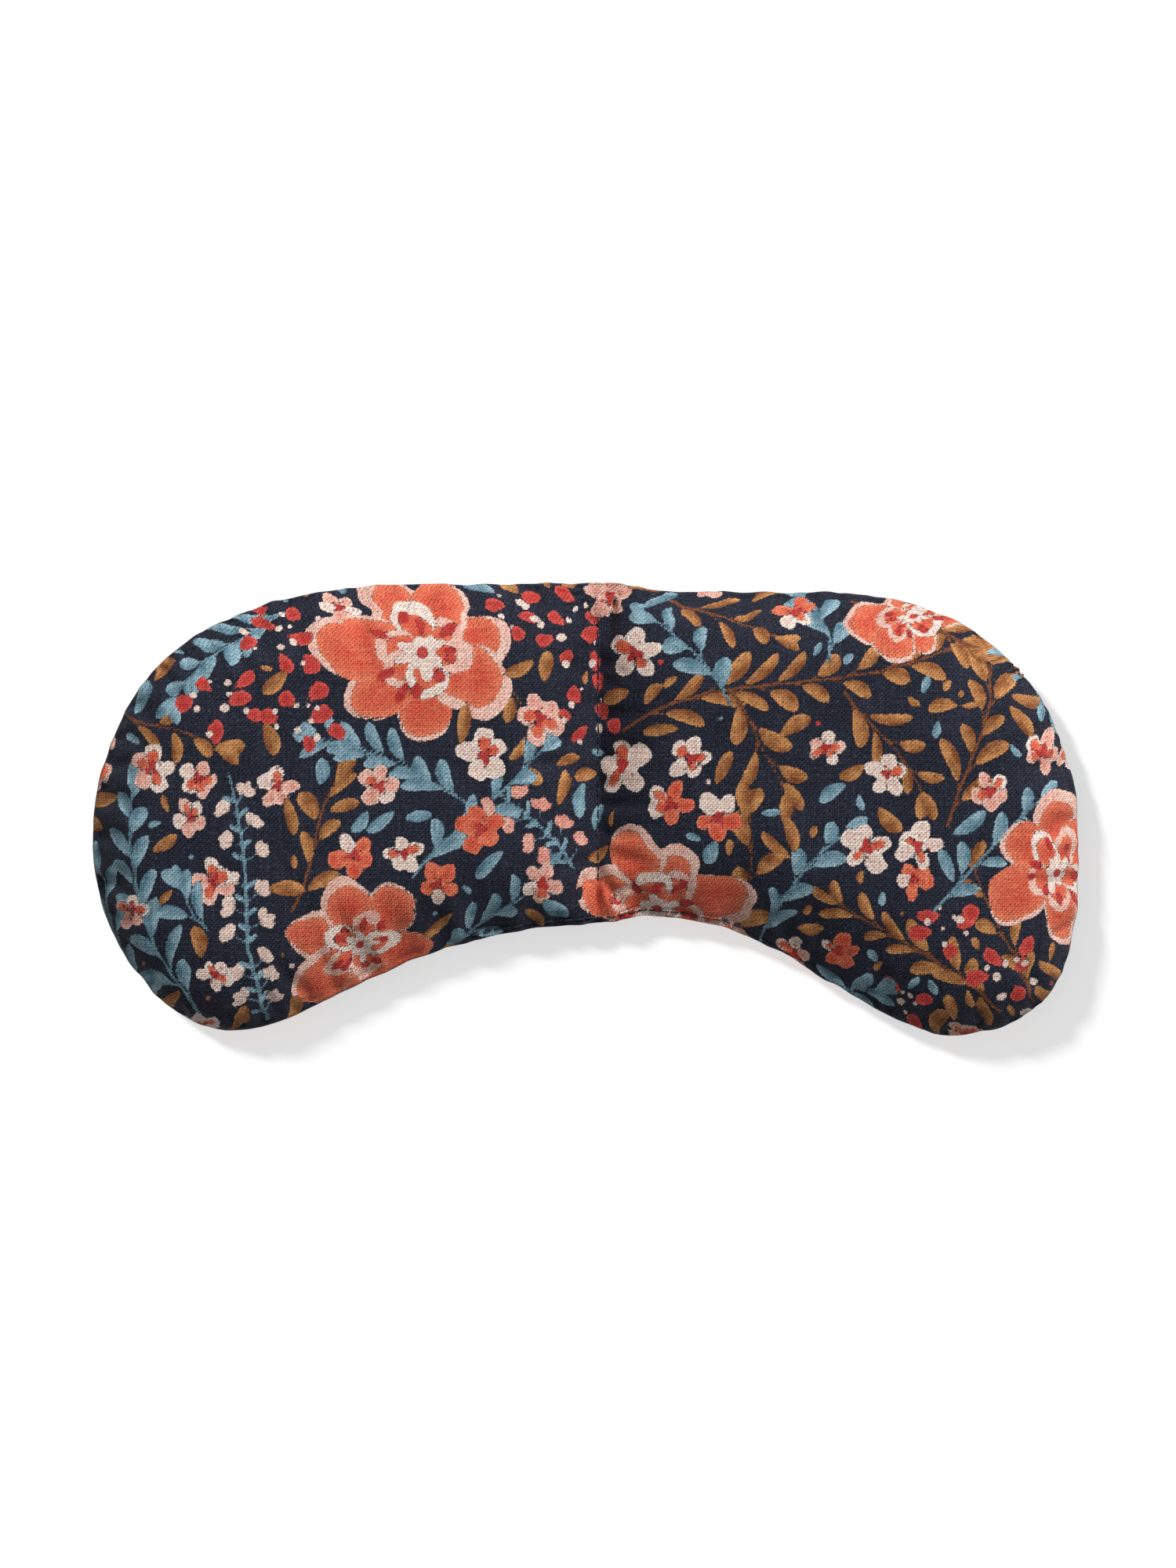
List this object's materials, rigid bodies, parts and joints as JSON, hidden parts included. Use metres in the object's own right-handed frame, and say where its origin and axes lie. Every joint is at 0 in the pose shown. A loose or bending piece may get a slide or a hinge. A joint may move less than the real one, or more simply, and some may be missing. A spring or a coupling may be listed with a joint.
{
  "type": "weighted eye mask",
  "caption": "Soft weighted eye mask without a strap: grain-filled pads of floral printed cloth, quilted together down the middle, with an arch for the nose.",
  "frame": {"origin": "middle of the mask's outline, on the surface that it lies on", "axes": "+X across the face, from the left pad to the right pad as seen from the front; +Y up to the brow; +Z out of the printed front, away from the eyes"},
  "size_m": [0.2298, 0.1056, 0.016],
  "materials": {
    "printed_cloth": "matt canvas",
    "navy_thread": "matt sewing thread",
    "flax_grain": "smooth seed"
  },
  "bodies": {
    "left_half": {"front_panel_left": "printed_cloth", "back_panel_left": "printed_cloth", "grain_fill_left": "flax_grain", "edge_seam_thread_left": "navy_thread", "nose_topstitch_needle_left": "navy_thread", "nose_topstitch_bobbin_left": "navy_thread", "centre_stitch_needle": "navy_thread", "centre_stitch_bobbin": "navy_thread"},
    "right_half": {"front_panel_right": "printed_cloth", "back_panel_right": "printed_cloth", "grain_fill_right": "flax_grain", "edge_seam_thread_right": "navy_thread", "nose_topstitch_needle_right": "navy_thread", "nose_topstitch_bobbin_right": "navy_thread"}
  },
  "joints": [
    {"name": "centre_fold", "type": "hinge", "parent": "left_half", "child": "right_half", "pos_m": [0.00279, 0, 0.005], "axis": [0, 1, 0], "range_deg": [-90, 90]}
  ]
}
